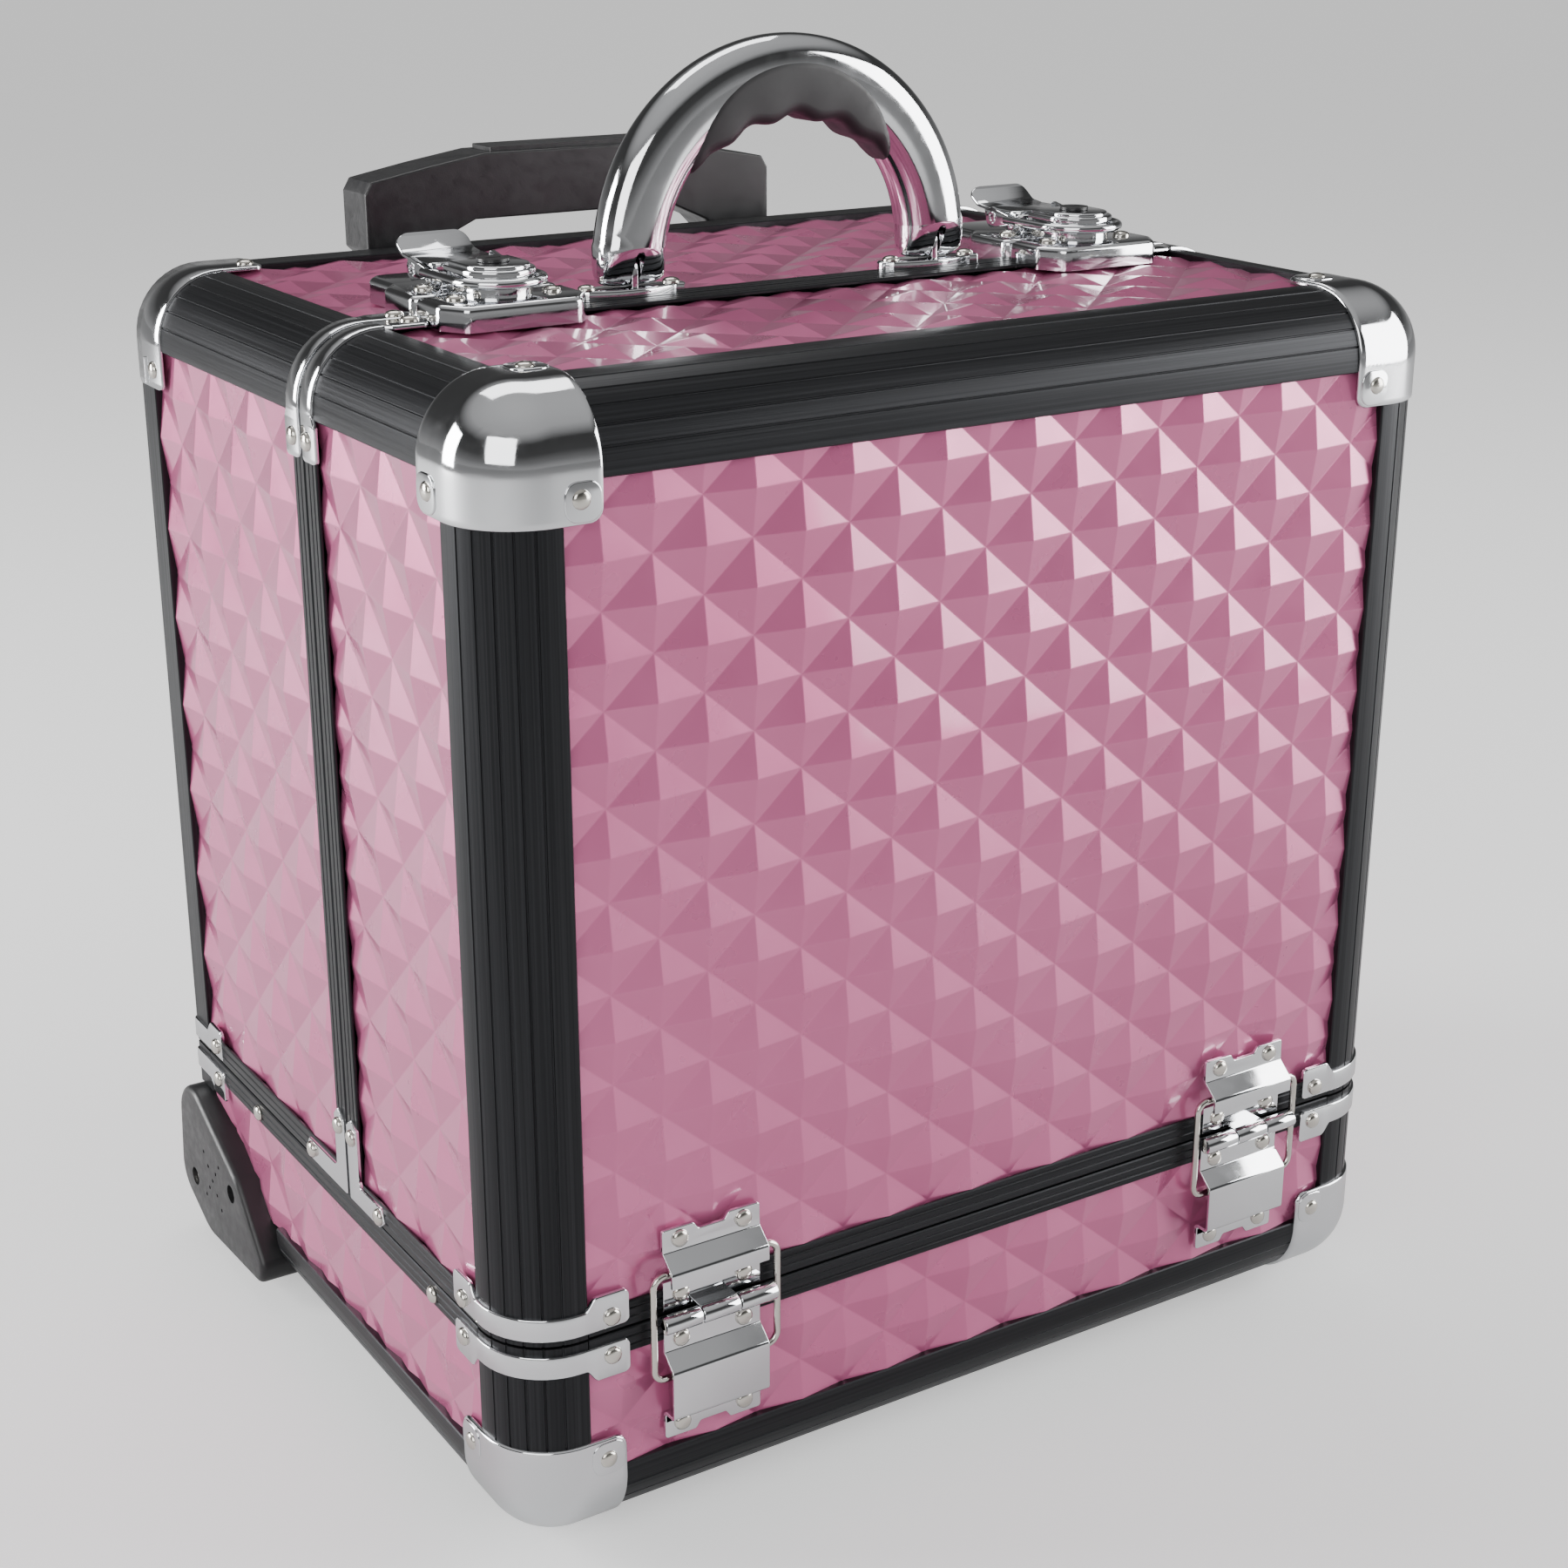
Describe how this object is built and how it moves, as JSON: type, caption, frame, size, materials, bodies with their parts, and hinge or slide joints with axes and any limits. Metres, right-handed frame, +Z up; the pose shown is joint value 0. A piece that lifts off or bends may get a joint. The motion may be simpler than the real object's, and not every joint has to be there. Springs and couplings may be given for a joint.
{
  "type": "makeup trolley case",
  "caption": "Diamond-embossed cosmetics trolley case in aluminium profiles, with a fold-down front half, sliding trays, carry handle and telescopic trolley handle.",
  "frame": {"origin": "on the floor, under the middle of the whole object's box", "axes": "+X to the object's own left-to-right as seen from the front, -Y towards the front half, +Z up"},
  "size_m": [0.436, 0.362, 0.534],
  "materials": {
    "embossed_panel": "glossy",
    "black_panel": "matte",
    "black_profile": "satin",
    "chrome_steel": "polished",
    "nickel": "polished",
    "bare_aluminium": "satin",
    "black_rubber": "matte",
    "tyre_rubber": "matte",
    "black_plastic": "matte",
    "tray_plastic": "matte"
  },
  "bodies": {
    "case": {"base_front_board": "embossed_panel", "base_side_boards": "embossed_panel", "base_back_board": "embossed_panel", "base_floor_board": "black_panel", "base_profiles": "black_profile", "base_ball_corners": "chrome_steel", "base_brackets": "chrome_steel", "base_rivets": "nickel", "base_dividers": "tray_plastic", "rubber_feet": "black_rubber", "wheel_housing_left": "black_plastic", "wheel_housing_right": "black_plastic", "wheel_axles": "chrome_steel", "rear_side_boards": "embossed_panel", "rear_top_board": "embossed_panel", "rear_back_board": "embossed_panel", "rear_floor_board": "black_panel", "rear_profiles": "black_profile", "rear_brackets": "chrome_steel", "rear_rivets": "nickel", "tray_rails": "bare_aluminium", "hinge_lower_plates": "chrome_steel", "hinge_pins": "nickel", "latch_base_plates": "chrome_steel", "handle_mounts": "chrome_steel", "trolley_outer_tubes": "black_profile", "trolley_brackets": "black_plastic"},
    "front_half": {"front_panel_board": "embossed_panel", "front_side_boards": "embossed_panel", "front_top_board": "embossed_panel", "front_profiles": "black_profile", "front_ball_corners": "chrome_steel", "front_brackets": "chrome_steel", "front_rivets": "nickel", "hinge_upper_plates": "chrome_steel", "latch_catches": "chrome_steel"},
    "lock_left": {"lock_cylinder_left": "black_plastic"},
    "lock_right": {"lock_cylinder_right": "black_plastic"},
    "stay_left": {"stay_ring_left": "nickel"},
    "stay_right": {"stay_ring_right": "nickel"},
    "lever_left": {"latch_lever_left": "chrome_steel"},
    "lever_right": {"latch_lever_right": "chrome_steel"},
    "bail_left": {"latch_bail_left": "chrome_steel"},
    "bail_right": {"latch_bail_right": "chrome_steel"},
    "carry_handle": {"carry_handle": "chrome_steel", "carry_handle_grip": "black_rubber", "handle_pins": "nickel"},
    "trolley_stage": {"trolley_middle_tubes": "bare_aluminium"},
    "trolley_grip": {"trolley_inner_tubes": "bare_aluminium", "trolley_grip": "black_plastic"},
    "release_button": {"trolley_button": "black_plastic"},
    "wheel_left": {"wheel_tyre_left": "tyre_rubber", "wheel_hub_left": "chrome_steel"},
    "wheel_right": {"wheel_tyre_right": "tyre_rubber", "wheel_hub_right": "chrome_steel"},
    "tray_1": {"tray_1": "tray_plastic"},
    "tray_2": {"tray_2": "tray_plastic"},
    "tray_3": {"tray_3": "tray_plastic"}
  },
  "joints": [
    {"name": "front_hinge", "type": "hinge", "parent": "case", "child": "front_half", "pos_m": [0, -0.1775, 0.0955], "axis": [1, 0, 0], "range_deg": [0, 100]},
    {"name": "stay_left", "type": "hinge", "parent": "case", "child": "stay_left", "pos_m": [-0.129, -0.149, 0.0645], "axis": [1, 0, 0], "range_deg": [0, 30.2]},
    {"name": "lever_left", "type": "hinge", "parent": "case", "child": "lever_left", "pos_m": [-0.134, -0.012, 0.4518], "axis": [1, 0, 0], "range_deg": [0, 100]},
    {"name": "bail_left", "type": "hinge", "parent": "lever_left", "child": "bail_left", "pos_m": [-0.134, 0.001, 0.4535], "axis": [1, 0, 0], "range_deg": [-115.1, 0]},
    {"name": "key_left", "type": "hinge", "parent": "front_half", "child": "lock_left", "pos_m": [-0.134, -0.032, 0.455], "axis": [0, 0, 1], "range_deg": [0, 90]},
    {"name": "wheel_left", "type": "hinge", "parent": "case", "child": "wheel_left", "pos_m": [-0.204, 0.122, 0.03], "axis": [1, 0, 0], "continuous": true},
    {"name": "stay_right", "type": "hinge", "parent": "case", "child": "stay_right", "pos_m": [0.129, -0.149, 0.0645], "axis": [1, 0, 0], "range_deg": [0, 30.2]},
    {"name": "lever_right", "type": "hinge", "parent": "case", "child": "lever_right", "pos_m": [0.134, -0.012, 0.4518], "axis": [1, 0, 0], "range_deg": [0, 100]},
    {"name": "bail_right", "type": "hinge", "parent": "lever_right", "child": "bail_right", "pos_m": [0.134, 0.001, 0.4535], "axis": [1, 0, 0], "range_deg": [-115.1, 0]},
    {"name": "key_right", "type": "hinge", "parent": "front_half", "child": "lock_right", "pos_m": [0.134, -0.032, 0.455], "axis": [0, 0, 1], "range_deg": [0, 90]},
    {"name": "wheel_right", "type": "hinge", "parent": "case", "child": "wheel_right", "pos_m": [0.204, 0.122, 0.03], "axis": [1, 0, 0], "continuous": true},
    {"name": "carry_swing", "type": "hinge", "parent": "case", "child": "carry_handle", "pos_m": [0, -0.018, 0.4496], "axis": [1, 0, 0], "range_deg": [-60, 60]},
    {"name": "trolley_lower", "type": "slide", "parent": "case", "child": "trolley_stage", "axis": [0, 0, 1], "range_m": [0, 0.27]},
    {"name": "trolley_upper", "type": "slide", "parent": "trolley_stage", "child": "trolley_grip", "axis": [0, 0, 1], "range_m": [0, 0.27]},
    {"name": "release", "type": "slide", "parent": "trolley_grip", "child": "release_button", "axis": [0, 0, -1], "range_m": [0, 0.004], "stiffness_N_per_m": 500, "springref_m": -0.002},
    {"name": "tray_slide_1", "type": "slide", "parent": "case", "child": "tray_1", "axis": [0, -1, 0], "range_m": [0, 0.108]},
    {"name": "tray_slide_2", "type": "slide", "parent": "case", "child": "tray_2", "axis": [0, -1, 0], "range_m": [0, 0.108]},
    {"name": "tray_slide_3", "type": "slide", "parent": "case", "child": "tray_3", "axis": [0, -1, 0], "range_m": [0, 0.108]}
  ],
  "couplings": [
    {"joint": "stay_left", "follows": "front_hinge", "ratio": 0.3015},
    {"joint": "bail_left", "follows": "lever_left", "ratio": -1.15},
    {"joint": "stay_right", "follows": "front_hinge", "ratio": 0.3015},
    {"joint": "bail_right", "follows": "lever_right", "ratio": -1.15}
  ]
}
